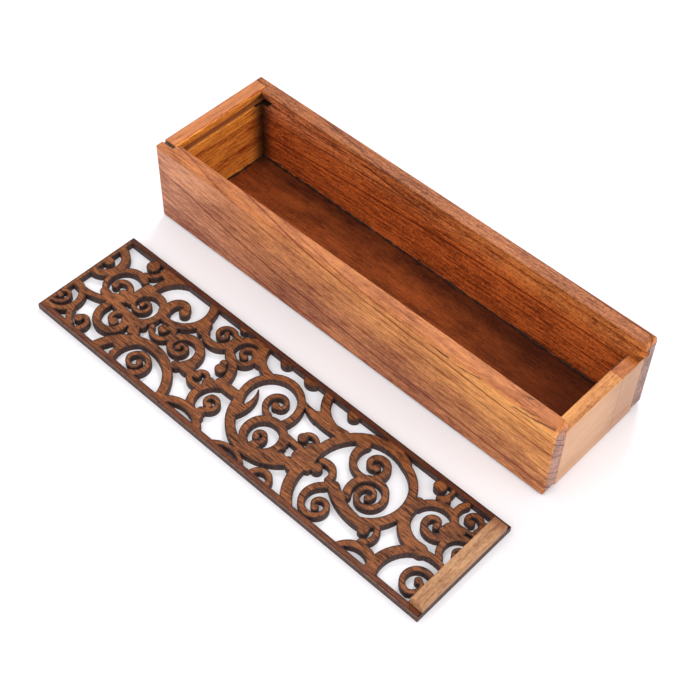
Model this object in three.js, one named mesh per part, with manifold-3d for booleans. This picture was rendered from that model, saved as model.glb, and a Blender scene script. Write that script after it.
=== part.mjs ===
// A small wooden box for pens, with a fretwork lid that slides in grooves.
// Millimetres, +Z up. +X runs along the box to its open end, where the lid slides out.
// The origin is the centre of the box's underside. The lid lies beside the box, right side up.
import * as THREE from 'three';
import { mergeVertices } from 'three/addons/utils/BufferGeometryUtils.js';
import Module from 'manifold-3d';

const wasm = await Module();
wasm.setup();

// Box
const BOX_LENGTH = 205;
const BOX_WIDTH = 60;
const BOX_HEIGHT = 40;
const SIDE_THICKNESS = 6.8;
const CLOSED_END_THICKNESS = 6.8;
const LOW_END_THICKNESS = 6;
const BOTTOM_THICKNESS = 3;
const BOTTOM_REBATE = 3;
const LONG_EDGE_ROUND = 1.6;
const OPEN_CORNER_ROUND = 3.2;
const CLOSED_CORNER_ROUND = 1.2;
const INNER_EDGE_ROUND = 0.5;
const GLUE_GAP = 0.15;

// Housing of the closed end in the side boards
const HOUSING_DEPTH = 3.4;
const SHORT_TONGUE = 1.6;
const FILLER_BELOW_RIM = 0.5;

// Low end, made of two pieces glued edge to edge
const LOW_END_JOINT_Y = 10;
const LOW_END_EDGE_ROUND = 0.7;
const NICK_WIDTH = 2.9;
const NICK_DEPTH = 2.6;
const NICK_WALL = 0.7;

// Lid and its grooves
const LID_THICKNESS = 3;
const LID_GROOVE_TOP_WALL = 3.4;
const LID_PLAY_UP = 0.4;
const LID_PLAY_SIDE = 0.4;
const LID_PLAY_END = 0.3;
const GROOVE_DEPTH = 2.4;
const END_GROOVE_DEPTH = 4.2;
const LONG_RAIL = 2.6;
const CLOSED_RAIL = 2;
const OPEN_RAIL = 6.6;

// Finger strip on the lid's open end
const STRIP_WIDTH = 6;
const STRIP_HEIGHT = 3.5;
const STRIP_PLAY = 0.4;
const STRIP_ROUND = 0.8;
const STRIP_SEAT = 0.05;

// Where the lid lies beside the box
const LID_CENTRE_X = 2;
const LID_FRONT_GAP = 19.2;

// The fretwork was drawn on a sheet of this size, from the closed end and the near edge
const DRAWING_LENGTH = 202.1;
const DRAWING_WIDTH = 50.4;

const INNER_WIDTH = BOX_WIDTH - 2 * SIDE_THICKNESS;
const GROOVE_TOP = BOX_HEIGHT - LID_GROOVE_TOP_WALL;
const GROOVE_BOTTOM = GROOVE_TOP - LID_THICKNESS - LID_PLAY_UP;
const CLOSED_END_INNER_X = CLOSED_END_THICKNESS - BOX_LENGTH / 2;
const LOW_END_INNER_X = BOX_LENGTH / 2 - LOW_END_THICKNESS;
const LID_WIDTH = INNER_WIDTH + 2 * (GROOVE_DEPTH - LID_PLAY_SIDE);
const LID_LENGTH = BOX_LENGTH - CLOSED_END_THICKNESS + END_GROOVE_DEPTH - LID_PLAY_END;
const LID_CENTRE_Y = -BOX_WIDTH / 2 - LID_FRONT_GAP - LID_WIDTH / 2;

// Bands of the fretwork. Each one turns round a centre: centre x and y, first and last angle in
// degrees, first and last radius, first and last width, and the radius of the bulb that ends it.
const BANDS = [
  // closed end: the half ring on the rail, and the first large scroll
  [1, 35, 105, -95, 7.8, 7.8, 3.8, 3.8],
  [17.5, 30.3, 60, 240, 8.3, 8, 3.4, 2.2],
  [15.9, 28.3, 0, 190, 6.6, 1.5, 2.8, 2, 1.7],
  [60.5, 31, 172, 185, 35.5, 35.5, 4.2, 4.2],
  [18, 45.4, 35, -80, 5.5, 5.5, 2.4, 2.4],
  // large ring below the far rail, with its curl
  [41.5, 38.5, 200, 115, 14.5, 13, 2.8, 5],
  [43, 40.5, 60, -105, 11.5, 10.7, 4.0, 2.9],
  [43.6, 37.4, 205, 0, 5.5, 1.6, 4.2, 2.4, 2.3],
  // middle scroll and the body that carries the scrolls round it
  [31.5, 28.5, 200, -60, 6.6, 8.2, 3.4, 3.2],
  [31, 28.8, 205, 560, 4.8, 1.2, 2.2, 1.5, 1.2],
  [30, 88, -104, -83, 67, 67, 4, 3.6],
  // near corner: ring, curl, and the small scroll on the rail
  [3, 10.3, 115, -110, 8, 7, 3.7, 2.2],
  [6, 40, -102, -62, 22.4, 22.4, 3.0, 2.8],
  [3, 10.4, -110, 250, 4.7, 1.2, 2.0, 1.6, 1.3],
  [19, 10, 195, 250, 8, 7.5, 3, 2.6],
  [18.2, 6.5, -55, 180, 4.6, 1.2, 2.6, 2.0, 1.9],
  // the scroll that hangs from the body
  [27.5, 16, 45, -200, 4.6, 8.2, 3.6, 3.4],
  [28, 15.8, 115, 290, 4.0, 1.0, 2.3, 2.0, 2.0],
  [46, 24, 214, 250, 9.8, 9.8, 2.8, 3],
  // arch on the near rail, with the scroll under it
  [50, -2, 166, 12, 18.3, 19.4, 4.2, 4],
  [50.2, 7.5, 215, 135, 10.4, 9.8, 2.8, 3],
  [50.2, 7.5, -70, 180, 5.4, 4.1, 2.8, 2.2],
  [50.2, 7.5, 180, 400, 4.1, 1.2, 2.0, 1.5, 1.4],
  // pair of scrolls above the arch
  [45.8, 25.5, -160, 75, 4.8, 4.2, 2.4, 2.6],
  [58.5, 23.8, 180, -40, 6.1, 7.8, 3, 4.4],
  [57.3, 24.2, 150, 570, 5.6, 1.2, 3.0, 1.5, 1.3],
  // pair of scrolls below the far rail
  [64.3, 41, 186, 375, 8.1, 6, 3, 4],
  [64.8, 40.5, 15, 430, 5.2, 1.2, 2.2, 1.5, 1.2],
  [78, 39.5, 250, 70, 6.4, 7.3, 3.6, 3.2],
  [78.2, 38.6, 70, -95, 4.2, 4.2, 2.6, 2.4],
  [78.2, 39.3, 55, 290, 4.4, 1.2, 2.2, 1.8, 1.5],
  // small curls between the large scrolls
  [69.5, 23.5, 70, -8, 12.4, 12.1, 4, 3.3],
  [72.6, 20, 10, 200, 3.8, 1.2, 2.0, 2.0, 1.9],
  [73.3, 20.3, 190, 300, 4.8, 4.8, 2.6, 2.8],
  [84, 100, -92.5, -85.5, 76.8, 76.8, 4.2, 4.2],
  // scroll on the second arch
  [85.5, 13, 115, 275, 9.6, 6.6, 3.0, 4.0],
  [85, 13.4, -80, 120, 3.4, 3.2, 2.2, 2.2],
  [85, 13.4, 120, 300, 3.2, 0.9, 2, 1.6, 1.5],
  [80, -6.5, 142, 38, 13.2, 13.2, 3.4, 3.4],
  // largest scroll in the middle of the lid, its leaf and its long lower sweep
  [92.5, 49.5, 188, 265, 11.2, 11, 3.6, 3.6],
  [101.3, 30.2, 222, -25, 12, 11.4, 3.2, 3.2],
  [104.4, 31.5, -85, -470, 6.4, 1.6, 2.6, 1.9, 1.7],
  [85.3, 23, -32, 42, 10.6, 11.6, 4.5, 0.5],
  [109.5, 26.3, 195, 325, 18.4, 18.9, 4, 4],
  [110.2, 17.1, 245, -60, 7.6, 7.7, 3.3, 3.4],
  [109, 15.9, -75, 250, 3.6, 1.1, 2.4, 1.8, 1.5],
  [106.3, -6, 132, 48, 11, 11, 2, 2],
  [122.8, 2.2, 180, 0, 4, 4, 2.6, 2.6],
  // stems that join the middle scroll to the large ring
  [119, 55, -115, -90, 18.2, 17.9, 1.6, 4.6],
  [124, 75, -98, -78, 37.8, 37.8, 4.8, 4.8],
  [129, 52, 195, 262, 14.5, 14.5, 4, 4],
  [122, 62, -97, -82, 39.4, 39.4, 2.6, 2.6],
  [150, 18, 172, 232, 20, 20.5, 4.6, 4.6],
  [122.8, 26.9, 20, 190, 4.8, 1.2, 2.0, 2.0, 2.1],
  // large ring towards the open end, and the scrolls inside it
  [149.5, 26.5, 205, 66, 19.6, 19.6, 4.2, 4.2],
  [153.7, 28.5, 75, -60, 15.9, 16.2, 3.3, 4.2],
  [148.5, 36.5, 150, 285, 8.6, 7.1, 3.6, 2.4],
  [149.3, 36.4, -50, 330, 6.3, 1.4, 3.4, 2, 1.7],
  [156.3, 25, 225, -90, 8, 5.2, 3.4, 2.4],
  [156.3, 25, -90, -420, 5.2, 1.4, 2.4, 1.7, 1.5],
  [137.1, 20, -8, 125, 4.2, 5.1, 2.8, 3],
  [160, 40, -126, -80, 26, 26, 4.8, 4.2],
  [146, 9.3, 118, 630, 8.6, 1.5, 3.0, 1.6, 1.5],
  [165, 13, 50, -60, 4.9, 4.9, 2.6, 2.6],
  // open end: the third arch, and the scrolls against the strip
  [170.3, -2, 155, 90, 8.9, 9.4, 2.4, 3.7],
  [170.3, -2, 90, 23, 9.4, 9.4, 3.7, 4],
  [192, 8, 200, 75, 15.5, 13.3, 5.2, 2.2],
  [182.3, 32.3, 165, 283, 11.2, 11.9, 4.4, 5.6],
  [181, 31.5, 165, 60, 9, 8.8, 3.4, 3],
  [181.5, 32.5, -15, -380, 6.6, 1.2, 3.4, 1.6, 1.4],
  [172.8, 46, 30, -60, 5, 5, 2, 2],
  [190.1, 42.7, 145, 275, 6.4, 6.2, 3, 3],
  [190.9, 42.6, 40, 200, 3, 2.4, 2.4, 2],
  [190.9, 42.6, 200, 270, 2.4, 0.9, 2, 1.8, 1.4],
  [191, 56, -92, -75, 18, 18, 1.4, 1.6],
  [196, 28.5, 95, 235, 6.9, 6.9, 2.8, 2.8],
  [195.6, 28.2, 80, 260, 2.6, 1.0, 1.6, 1.4, 1.3],
  [192.6, 10, 50, 270, 6.0, 4.7, 2.4, 2.3],
  [192.6, 10, 270, 450, 4.7, 1.2, 2.2, 1.6, 1.5],
];

// Round bulbs and the wide places of the body: centre x and y, radius.
const BULBS = [
  [2.6, 34.8, 2.3],
  [17.9, 45.4, 2.9],
  [26.5, 46.2, 2.8],
  [28.8, 47.2, 1.2],
  [20.3, 27.2, 2.1],
  [19.5, 22.5, 3.2],
  [22.3, 25.3, 2.3],
  [45.3, 25.9, 2.2],
  [46.8, 27.6, 1.1],
  [47.5, 28.8, 1.8],
  [38.8, 32.5, 2.6],
  [35, 18.9, 2],
  [37.1, 16.9, 2.1],
  [38.2, 8.9, 2.3],
  [40.2, 4, 1.5],
  [57, 36.5, 2.8],
  [62.1, 17.2, 2.1],
  [66.3, 19.5, 3.2],
  [68.5, 48.4, 2.2],
  [75.9, 27.9, 2.4],
  [74.9, 30.5, 1.6],
  [77.5, 20, 2.6],
  [81.5, 45, 2.4],
  [84.5, 40.5, 2.2],
  [85.2, 9, 1.8],
  [92.3, 48.3, 3],
  [94, 20.5, 2],
  [105.5, 49, 3.8],
  [110.5, 10.6, 2.3],
  [111.4, 12.4, 1.6],
  [118.5, 13.5, 2.2],
  [118.9, 18.6, 1.4],
  [118.6, 20.6, 1.2],
  [121.5, 14, 2.6],
  [128.3, 47.4, 2.7],
  [127, 25.5, 2.2],
  [128, 27.4, 1.2],
  [127, 20, 3.6],
  [127.5, 15.5, 3.2],
  [134.7, 20.4, 2.3],
  [142.6, 18.2, 1.9],
  [139.5, 40, 2.6],
  [164.8, 13, 2.3],
  [172.6, 46, 2.7],
  [177.3, 41.6, 1.2],
  [178.1, 43.2, 1.6],
  [187, 34.5, 2.8],
  [186.2, 32.8, 2.4],
  [187.3, 36.3, 2.4],
  [189.8, 36, 2.6],
  [189.9, 34.6, 1.4],
  [196.4, 43, 3],
  [196, 39.9, 2.6],
];

const STEP_DEGREES = 12;
const STEP_LENGTH = 2.4;
const MOST_STEPS_BY_LENGTH = 18;
const BULB_SIDES = 18;
const ROUND_STEPS = 5;
const WELD = 1e-5;
const CUT_PAST = 1;

const colours = {
  board: 0xb0683f,
  end: 0xbf7440,
  low: 0xd09a5c,
  bottom: 0x6a3218,
  lid: 0x7a4a30,
  strip: 0xc69462,
  filler: 0x3a2a1c,
};

function wood(colour, roughness = 0.6) {
  return new THREE.MeshStandardMaterial({ color: colour, roughness, metalness: 0 });
}

function solidOf(geometry) {
  geometry.deleteAttribute('normal');
  geometry.deleteAttribute('uv');
  const merged = mergeVertices(geometry, WELD);
  const mesh = new wasm.Mesh({
    numProp: 3,
    vertProperties: merged.attributes.position.array,
    triVerts: merged.index.array,
  });
  return new wasm.Manifold(mesh);
}

function meshOf(solid, name, material) {
  const data = solid.getMesh();
  const geometry = new THREE.BufferGeometry();
  geometry.setAttribute('position', new THREE.BufferAttribute(data.vertProperties, 3));
  geometry.setIndex(new THREE.BufferAttribute(data.triVerts, 1));
  geometry.computeVertexNormals();
  const mesh = new THREE.Mesh(geometry, material);
  mesh.name = name;
  return mesh;
}

// The plane that an outline is drawn in, and the way that it is then swept.
const SWEEPS = {
  alongX: [new THREE.Vector3(0, 1, 0), new THREE.Vector3(0, 0, 1), new THREE.Vector3(1, 0, 0)],
  alongY: [new THREE.Vector3(0, 0, 1), new THREE.Vector3(1, 0, 0), new THREE.Vector3(0, 1, 0)],
  alongZ: [new THREE.Vector3(1, 0, 0), new THREE.Vector3(0, 1, 0), new THREE.Vector3(0, 0, 1)],
};

function swept(shape, sweep, from, to) {
  const geometry = new THREE.ExtrudeGeometry(shape, {
    depth: to - from,
    bevelEnabled: false,
    curveSegments: ROUND_STEPS,
  });
  geometry.translate(0, 0, from);
  geometry.applyMatrix4(new THREE.Matrix4().makeBasis(...SWEEPS[sweep]));
  return solidOf(geometry);
}

// Closed outline through corners [a, b, radius]; a corner with a radius is rounded.
function outline(corners) {
  const shape = new THREE.Shape();
  corners.forEach(([a, b, radius = 0], index) => {
    const corner = new THREE.Vector2(a, b);
    const previous = corners[(index + corners.length - 1) % corners.length];
    const next = corners[(index + 1) % corners.length];
    const back = new THREE.Vector2(previous[0], previous[1]).sub(corner).setLength(radius);
    const ahead = new THREE.Vector2(next[0], next[1]).sub(corner).setLength(radius);
    const entry = corner.clone().add(back);
    const exit = corner.clone().add(ahead);
    if (index === 0) {
      shape.moveTo(entry.x, entry.y);
    } else {
      shape.lineTo(entry.x, entry.y);
    }
    if (radius > 0) {
      arcRound(shape, entry, exit, back, ahead);
    }
  });
  return shape;
}

// Quarter turn from entry to exit, about the centre that lies inside the corner.
function arcRound(shape, entry, exit, back, ahead) {
  const centre = entry.clone().add(ahead);
  const first = Math.atan2(entry.y - centre.y, entry.x - centre.x);
  const last = Math.atan2(exit.y - centre.y, exit.x - centre.x);
  const clockwise = back.cross(ahead) > 0;
  shape.absarc(centre.x, centre.y, ahead.length(), first, last, clockwise);
}

function block(minimum, maximum) {
  const size = new THREE.Vector3().subVectors(maximum, minimum);
  const geometry = new THREE.BoxGeometry(size.x, size.y, size.z);
  geometry.translate(
    (minimum.x + maximum.x) / 2,
    (minimum.y + maximum.y) / 2,
    (minimum.z + maximum.z) / 2,
  );
  return solidOf(geometry);
}

// A side board: cross-section with lid groove and bottom rebate, trimmed to its side view and its
// plan, and housed out for the closed end. side is -1 for the front board, 1 for the back one.
function sideBoard(side) {
  const outer = side * BOX_WIDTH / 2;
  const inner = side * INNER_WIDTH / 2;
  const grooveFloor = inner + side * GROOVE_DEPTH;
  const rebateFloor = inner + side * BOTTOM_REBATE;
  const rebateTop = BOTTOM_THICKNESS + GLUE_GAP;
  const half = BOX_LENGTH / 2;
  const section = outline([
    [outer, 0, LONG_EDGE_ROUND],
    [outer, BOX_HEIGHT, LONG_EDGE_ROUND],
    [inner, BOX_HEIGHT, INNER_EDGE_ROUND],
    [inner, GROOVE_TOP],
    [grooveFloor, GROOVE_TOP],
    [grooveFloor, GROOVE_BOTTOM],
    [inner, GROOVE_BOTTOM],
    [inner, rebateTop],
    [rebateFloor, rebateTop],
    [rebateFloor, 0],
  ]);
  const sideView = outline([
    [0, -half, CLOSED_CORNER_ROUND],
    [0, half, OPEN_CORNER_ROUND],
    [BOX_HEIGHT, half, OPEN_CORNER_ROUND],
    [BOX_HEIGHT, -half, CLOSED_CORNER_ROUND],
  ]);
  const plan = outline([
    [-half, outer, CLOSED_CORNER_ROUND],
    [half, outer, CLOSED_CORNER_ROUND],
    [half, inner],
    [-half, inner],
  ]);
  const housingFloor = inner + side * HOUSING_DEPTH;
  const housing = block(
    new THREE.Vector3(-half - CUT_PAST, Math.min(housingFloor, 0), -CUT_PAST),
    new THREE.Vector3(CLOSED_END_INNER_X + GLUE_GAP, Math.max(housingFloor, 0), BOX_HEIGHT + CUT_PAST),
  );
  const low = Math.min(outer, inner) - CUT_PAST;
  const high = Math.max(outer, inner) + CUT_PAST;
  return swept(section, 'alongX', -half, half)
    .intersect(swept(sideView, 'alongY', low, high))
    .intersect(swept(plan, 'alongZ', -CUT_PAST, BOX_HEIGHT + CUT_PAST))
    .subtract(housing);
}

// The closed end, full height, whose near tongue stops short of the housing's floor.
function closedEndBoard() {
  const outer = -BOX_LENGTH / 2;
  const inner = CLOSED_END_INNER_X;
  const section = outline([
    [0, outer, CLOSED_CORNER_ROUND],
    [0, inner - BOTTOM_REBATE],
    [BOTTOM_THICKNESS + GLUE_GAP, inner - BOTTOM_REBATE],
    [BOTTOM_THICKNESS + GLUE_GAP, inner],
    [GROOVE_BOTTOM, inner],
    [GROOVE_BOTTOM, inner - END_GROOVE_DEPTH],
    [GROOVE_TOP, inner - END_GROOVE_DEPTH],
    [GROOVE_TOP, inner],
    [BOX_HEIGHT, inner, INNER_EDGE_ROUND],
    [BOX_HEIGHT, outer, CLOSED_CORNER_ROUND],
  ]);
  const farEnd = INNER_WIDTH / 2 + HOUSING_DEPTH - GLUE_GAP;
  return swept(section, 'alongY', -INNER_WIDTH / 2 - SHORT_TONGUE, farEnd);
}

// One piece of the low end, from y = from to y = to.
function lowEndPiece(from, to) {
  const outer = BOX_LENGTH / 2;
  const inner = LOW_END_INNER_X;
  const section = outline([
    [0, outer, LONG_EDGE_ROUND],
    [GROOVE_BOTTOM, outer, LOW_END_EDGE_ROUND],
    [GROOVE_BOTTOM, inner, INNER_EDGE_ROUND],
    [BOTTOM_THICKNESS + GLUE_GAP, inner],
    [BOTTOM_THICKNESS + GLUE_GAP, inner + BOTTOM_REBATE],
    [0, inner + BOTTOM_REBATE],
  ]);
  return swept(section, 'alongY', from, to);
}

// The narrow piece has a nick in its top where it meets the back board.
function lowEndNarrow() {
  const farFace = INNER_WIDTH / 2 - GLUE_GAP;
  const nick = block(
    new THREE.Vector3(LOW_END_INNER_X - CUT_PAST, farFace - NICK_WIDTH, GROOVE_BOTTOM - NICK_DEPTH),
    new THREE.Vector3(BOX_LENGTH / 2 - NICK_WALL, farFace + CUT_PAST, GROOVE_BOTTOM + CUT_PAST),
  );
  return lowEndPiece(LOW_END_JOINT_Y + GLUE_GAP, farFace).subtract(nick);
}

function bottomPanel() {
  const reach = INNER_WIDTH / 2 + BOTTOM_REBATE - GLUE_GAP;
  const closedX = CLOSED_END_INNER_X - BOTTOM_REBATE + GLUE_GAP;
  const openX = LOW_END_INNER_X + BOTTOM_REBATE - GLUE_GAP;
  return block(
    new THREE.Vector3(closedX, -reach, 0),
    new THREE.Vector3(openX, reach, BOTTOM_THICKNESS),
  );
}

// Dark filler in the open part of the front housing, between the short tongue and its floor. It
// stands over the edge of the bottom panel.
function cornerFiller() {
  const floorY = -INNER_WIDTH / 2 - HOUSING_DEPTH + GLUE_GAP;
  const tongueY = -INNER_WIDTH / 2 - SHORT_TONGUE - GLUE_GAP;
  const top = BOX_HEIGHT - FILLER_BELOW_RIM;
  const outer = CLOSED_CORNER_ROUND - BOX_LENGTH / 2;
  const inner = CLOSED_END_INNER_X;
  const section = outline([
    [CLOSED_CORNER_ROUND, outer],
    [CLOSED_CORNER_ROUND, inner - BOTTOM_REBATE],
    [BOTTOM_THICKNESS + GLUE_GAP, inner - BOTTOM_REBATE],
    [BOTTOM_THICKNESS + GLUE_GAP, inner],
    [top, inner],
    [top, outer],
  ]);
  return swept(section, 'alongY', floorY, tongueY);
}

// Upright wall through a closed row of points of the fretwork drawing, as thick as the lid.
function cutBand(points) {
  const stretchX = LID_LENGTH / DRAWING_LENGTH;
  const stretchY = LID_WIDTH / DRAWING_WIDTH;
  const shape = new THREE.Shape(points.map((p) => new THREE.Vector2(p.x * stretchX, p.y * stretchY)));
  return swept(shape, 'alongZ', 0, LID_THICKNESS);
}

function disc(x, y, radius) {
  const points = [];
  for (let side = 0; side < BULB_SIDES; side += 1) {
    const angle = 2 * Math.PI * (side + 0.5) / BULB_SIDES;
    points.push(new THREE.Vector2(x + radius * Math.cos(angle), y + radius * Math.sin(angle)));
  }
  return cutBand(points);
}

// A band of changing width along a spiral about (x, y), with round ends.
function scroll([x, y, firstAngle, lastAngle, firstRadius, lastRadius, firstWidth, lastWidth, bulb]) {
  const turn = Math.abs(lastAngle - firstAngle);
  const meanRadius = (firstRadius + lastRadius) / 2;
  const byLength = THREE.MathUtils.degToRad(turn) * meanRadius / STEP_LENGTH;
  const steps = Math.ceil(Math.max(turn / STEP_DEGREES, Math.min(byLength, MOST_STEPS_BY_LENGTH)));
  const centreLine = [];
  for (let step = 0; step <= steps; step += 1) {
    const t = step / steps;
    const angle = THREE.MathUtils.degToRad(THREE.MathUtils.lerp(firstAngle, lastAngle, t));
    const radius = firstRadius * (lastRadius / firstRadius) ** t;
    centreLine.push(new THREE.Vector2(x + radius * Math.cos(angle), y + radius * Math.sin(angle)));
  }
  const left = [];
  const right = [];
  centreLine.forEach((point, index) => {
    const before = centreLine[Math.max(index - 1, 0)];
    const after = centreLine[Math.min(index + 1, steps)];
    const across = new THREE.Vector2(before.y - after.y, after.x - before.x);
    across.setLength(THREE.MathUtils.lerp(firstWidth, lastWidth, index / steps) / 2);
    left.push(point.clone().add(across));
    right.unshift(point.clone().sub(across));
  });
  const start = centreLine[0];
  const end = centreLine[steps];
  return cutBand([...left, ...right])
    .add(disc(start.x, start.y, firstWidth / 2))
    .add(disc(end.x, end.y, bulb ?? lastWidth / 2));
}

// The lid's frame with the scrolls inside it, as one cut sheet, closed end at x = 0.
function lidPanel() {
  const sheet = block(new THREE.Vector3(0, 0, 0), new THREE.Vector3(LID_LENGTH, LID_WIDTH, LID_THICKNESS));
  const window = block(
    new THREE.Vector3(CLOSED_RAIL, LONG_RAIL, -CUT_PAST),
    new THREE.Vector3(LID_LENGTH - OPEN_RAIL, LID_WIDTH - LONG_RAIL, LID_THICKNESS + CUT_PAST),
  );
  let fretwork = sheet.subtract(window);
  for (const band of BANDS) {
    fretwork = fretwork.add(scroll(band));
  }
  for (const bulb of BULBS) {
    fretwork = fretwork.add(disc(...bulb));
  }
  return fretwork.intersect(sheet);
}

// The strip across the lid's open end, which runs between the side boards when the lid slides.
function fingerStrip() {
  const inset = (LID_WIDTH - INNER_WIDTH) / 2 + STRIP_PLAY;
  const near = inset;
  const far = LID_WIDTH - inset;
  const low = LID_THICKNESS + STRIP_SEAT;
  const high = low + STRIP_HEIGHT;
  const left = LID_LENGTH - STRIP_WIDTH;
  const section = outline([
    [low, left],
    [low, LID_LENGTH],
    [high, LID_LENGTH, STRIP_ROUND],
    [high, left, STRIP_ROUND],
  ]);
  const endView = outline([
    [near, low],
    [far, low],
    [far, high, STRIP_ROUND],
    [near, high, STRIP_ROUND],
  ]);
  const crosswise = swept(section, 'alongY', near, far);
  return crosswise.intersect(swept(endView, 'alongX', left - CUT_PAST, LID_LENGTH + CUT_PAST));
}

const box = new THREE.Group();
box.add(
  meshOf(sideBoard(-1), 'front_side_board', wood(colours.board)),
  meshOf(sideBoard(1), 'back_side_board', wood(colours.board)),
  meshOf(closedEndBoard(), 'closed_end_board', wood(colours.end)),
  meshOf(lowEndPiece(GLUE_GAP - INNER_WIDTH / 2, LOW_END_JOINT_Y), 'low_end_board_wide', wood(colours.low)),
  meshOf(lowEndNarrow(), 'low_end_board_narrow', wood(colours.low)),
  meshOf(bottomPanel(), 'bottom_panel', wood(colours.bottom)),
  meshOf(cornerFiller(), 'corner_filler', wood(colours.filler, 0.9)),
);

const lid = new THREE.Group();
lid.add(
  meshOf(lidPanel(), 'lid_panel', wood(colours.lid, 0.7)),
  meshOf(fingerStrip(), 'lid_finger_strip', wood(colours.strip)),
);
lid.position.set(LID_CENTRE_X - LID_LENGTH / 2, LID_CENTRE_Y - LID_WIDTH / 2, 0);

const part = new THREE.Group();
part.add(box, lid);

export default part;
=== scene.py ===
# %% [markdown]
# # A long wooden box with a scroll fretwork lid
#
# The object is a narrow pen box of stained and waxed wood. Two long side boards hold a closed end board,
# a low end made of two pieces, and a thin bottom. Its flat lid is cut through with scrolls, and is shown
# taken off, lying in front of the box. The solids arrive ready made, at their real size, in one shared
# frame. This lesson dresses them: it copies each piece, softens its edges, and gives every surface its
# own wood.

# %% Load the frame
import math
import random

import bmesh
import bpy
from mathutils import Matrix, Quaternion, Vector, kdtree
from mathutils.geometry import delaunay_2d_cdt


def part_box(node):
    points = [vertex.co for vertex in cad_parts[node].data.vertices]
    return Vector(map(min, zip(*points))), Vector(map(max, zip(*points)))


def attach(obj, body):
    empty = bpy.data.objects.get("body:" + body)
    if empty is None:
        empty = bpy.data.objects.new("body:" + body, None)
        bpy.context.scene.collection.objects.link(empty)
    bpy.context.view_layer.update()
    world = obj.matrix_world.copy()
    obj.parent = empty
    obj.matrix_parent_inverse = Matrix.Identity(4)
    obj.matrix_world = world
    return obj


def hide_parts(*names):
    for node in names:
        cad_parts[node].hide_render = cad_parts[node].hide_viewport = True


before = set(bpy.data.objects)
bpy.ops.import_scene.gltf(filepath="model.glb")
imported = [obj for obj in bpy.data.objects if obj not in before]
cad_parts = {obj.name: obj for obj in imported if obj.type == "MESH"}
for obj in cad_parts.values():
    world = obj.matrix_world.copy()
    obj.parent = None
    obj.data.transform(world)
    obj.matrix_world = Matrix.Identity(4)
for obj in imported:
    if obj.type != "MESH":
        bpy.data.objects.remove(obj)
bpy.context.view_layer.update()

MM = 0.001
BOX_BODY = "box"
LID_BODY = "lid"
front_low, front_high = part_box("front_side_board")
back_low, back_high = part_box("back_side_board")
end_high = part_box("closed_end_board")[1]
low_end_low, low_end_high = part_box("low_end_board_wide")
lid_low, lid_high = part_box("lid_panel")

# %% [markdown]
# ## The camera
#
# A photograph is a perspective of a real camera, so the camera comes first: every later judgement of
# shape and colour is made through it. Its place and aim were worked out from the straight edges of the
# box. A long lens a good half metre away keeps the edges nearly parallel. The small roll is a hand-held
# tilt.

# %% Camera
CAMERA_PLACE = Vector((0.2390, -0.2906, 0.4355))
CAMERA_AIM = Vector((-0.4183, 0.4683, -0.7783))
CAMERA_ROLL = math.radians(1.85)
LENS_MM = 73.2
SENSOR_MM = 36.0
NEAREST_SEEN = 0.01
FARTHEST_SEEN = 20.0


def place_camera():
    """Makes the camera, looks along the aim, and turns it about the line of sight."""
    data = bpy.data.cameras.new("camera")
    data.lens = LENS_MM
    data.sensor_width = SENSOR_MM
    data.clip_start = NEAREST_SEEN
    data.clip_end = FARTHEST_SEEN
    camera = bpy.data.objects.new("camera", data)
    aim = CAMERA_AIM.normalized()
    camera.rotation_mode = "QUATERNION"
    camera.rotation_quaternion = Quaternion(aim, -CAMERA_ROLL) @ aim.to_track_quat("-Z", "Y")
    camera.location = CAMERA_PLACE
    bpy.context.scene.collection.objects.link(camera)
    bpy.context.scene.camera = camera


place_camera()
print("camera to the origin, in mm:", round(CAMERA_PLACE.length / MM))

# %% [markdown]
# ## Writing nodes as sums
#
# Wood is drawn with sums: distances, waves and noises added and multiplied. Linking Math nodes by hand
# hides the sum, so a small class wraps a socket and lets Python's own operators add the nodes. `1 - mask`
# works as well as `mask * 2`, because each operator has its reflected form. Colours never go through Math
# nodes, which would turn them grey: they are mixed.

# %% A socket that takes part in sums
class Wire:
    """An output socket of a node tree, for use in Python expressions."""

    def __init__(self, nodes, socket):
        self.nodes = nodes
        self.socket = socket

    def _math(self, operation, *values):
        return self.nodes.node("ShaderNodeMath", {"operation": operation}, dict(enumerate(values)))

    def __add__(self, other):
        return self._math("ADD", self, other)

    __radd__ = __add__

    def __sub__(self, other):
        return self._math("SUBTRACT", self, other)

    def __rsub__(self, other):
        return self._math("SUBTRACT", other, self)

    def __mul__(self, other):
        return self._math("MULTIPLY", self, other)

    __rmul__ = __mul__

    def __truediv__(self, other):
        return self._math("DIVIDE", self, other)

    def __rtruediv__(self, other):
        return self._math("DIVIDE", other, self)

    def __abs__(self):
        return self._math("ABSOLUTE", self)

    def root(self):
        return self._math("SQRT", self)

    def fraction(self):
        return self._math("FRACT", self)

    def whole(self):
        return self._math("FLOOR", self)

    def most(self, other):
        return self._math("MAXIMUM", self, other)

    def ramp(self, start, end):
        """A smooth step from 0 at start to 1 at end, held flat outside them. Start may lie above end."""
        if start > end:
            return 1.0 - self.ramp(end, start)
        sockets = {"Value": self, "From Min": start, "From Max": end}
        return self.nodes.node("ShaderNodeMapRange", {"interpolation_type": "SMOOTHSTEP"}, sockets)


# %% [markdown]
# Everything that isn't a sum comes from one method, `node`. It takes the node's type, its settings, which
# are set first because they decide which sockets exist, and the values or links of its sockets. Shader
# trees and geometry trees both use it.

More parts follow.
